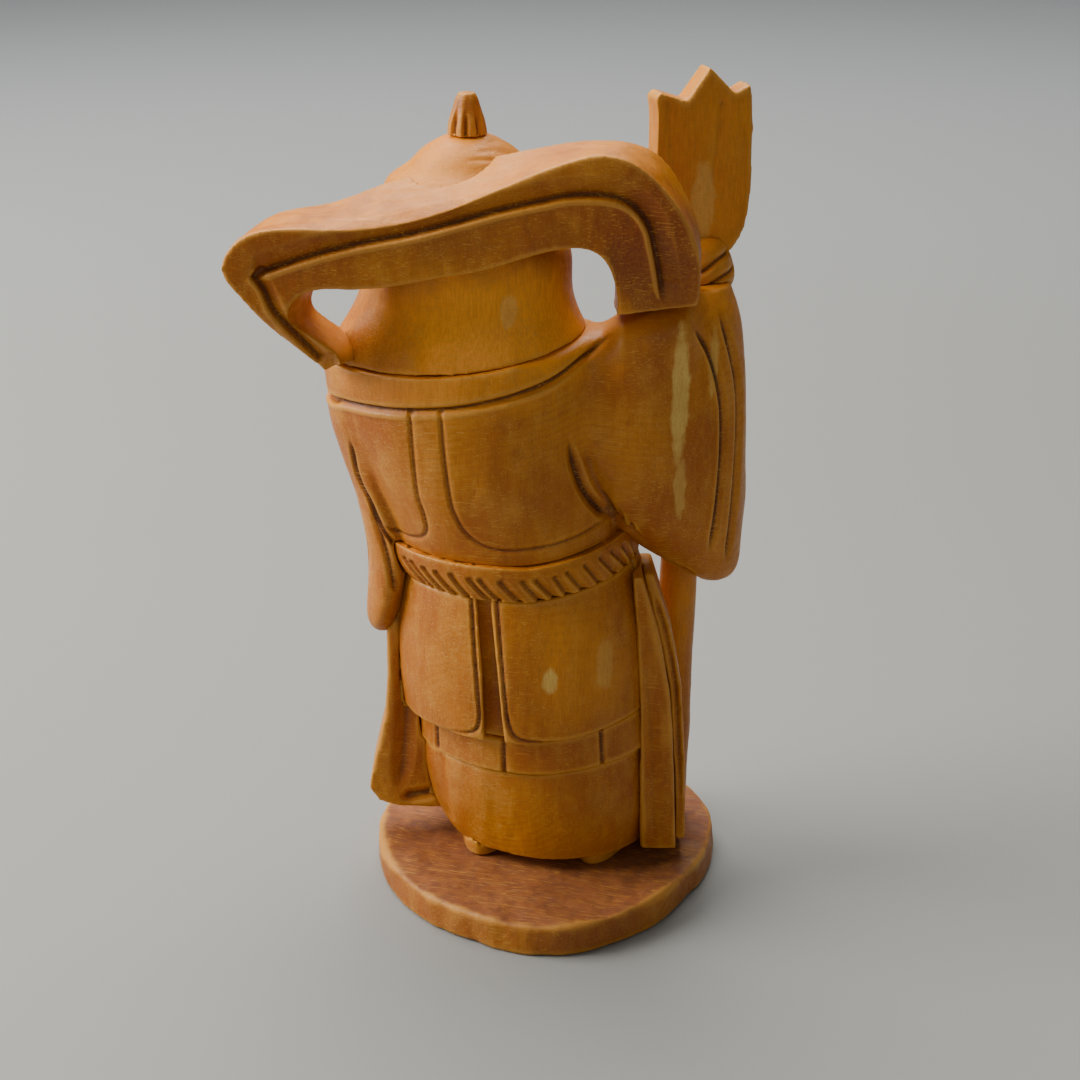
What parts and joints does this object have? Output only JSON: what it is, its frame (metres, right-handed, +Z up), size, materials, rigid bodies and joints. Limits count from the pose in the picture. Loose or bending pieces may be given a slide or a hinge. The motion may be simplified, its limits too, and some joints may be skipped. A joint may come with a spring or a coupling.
{
  "type": "carved wooden figurine",
  "caption": "Carved boxwood figurine of a robed figure with a long blossom staff and a scarf standing up behind its head, on an oval plinth.",
  "frame": {"origin": "centre of the plinth's underside", "axes": "+Z up through the figure, -Y towards the figure's front, -X towards its raised right arm"},
  "size_m": [0.0859, 0.0687, 0.1572],
  "materials": {
    "boxwood": "satin"
  },
  "bodies": {
    "root": {"belt": "boxwood", "belt_end_left": "boxwood", "belt_end_right": "boxwood", "belt_knot": "boxwood", "blossom": "boxwood", "bust": "boxwood", "cap": "boxwood", "cap_knot": "boxwood", "coat_tail_back_left": "boxwood", "coat_tail_back_right": "boxwood", "coat_tail_front_left": "boxwood", "coat_tail_front_right": "boxwood", "collar_band": "boxwood", "hand_left": "boxwood", "hand_right": "boxwood", "head": "boxwood", "lapel_left": "boxwood", "lapel_right": "boxwood", "neck_cloth": "boxwood", "pleated_border": "boxwood", "plinth": "boxwood", "sash_left": "boxwood", "sash_right_inner": "boxwood", "sash_right_outer": "boxwood", "scarf": "boxwood", "shoe_left": "boxwood", "shoe_right": "boxwood", "skirt_core": "boxwood", "sleeve_left": "boxwood", "sleeve_right": "boxwood", "staff": "boxwood", "under_robe": "boxwood"}
  },
  "joints": []
}
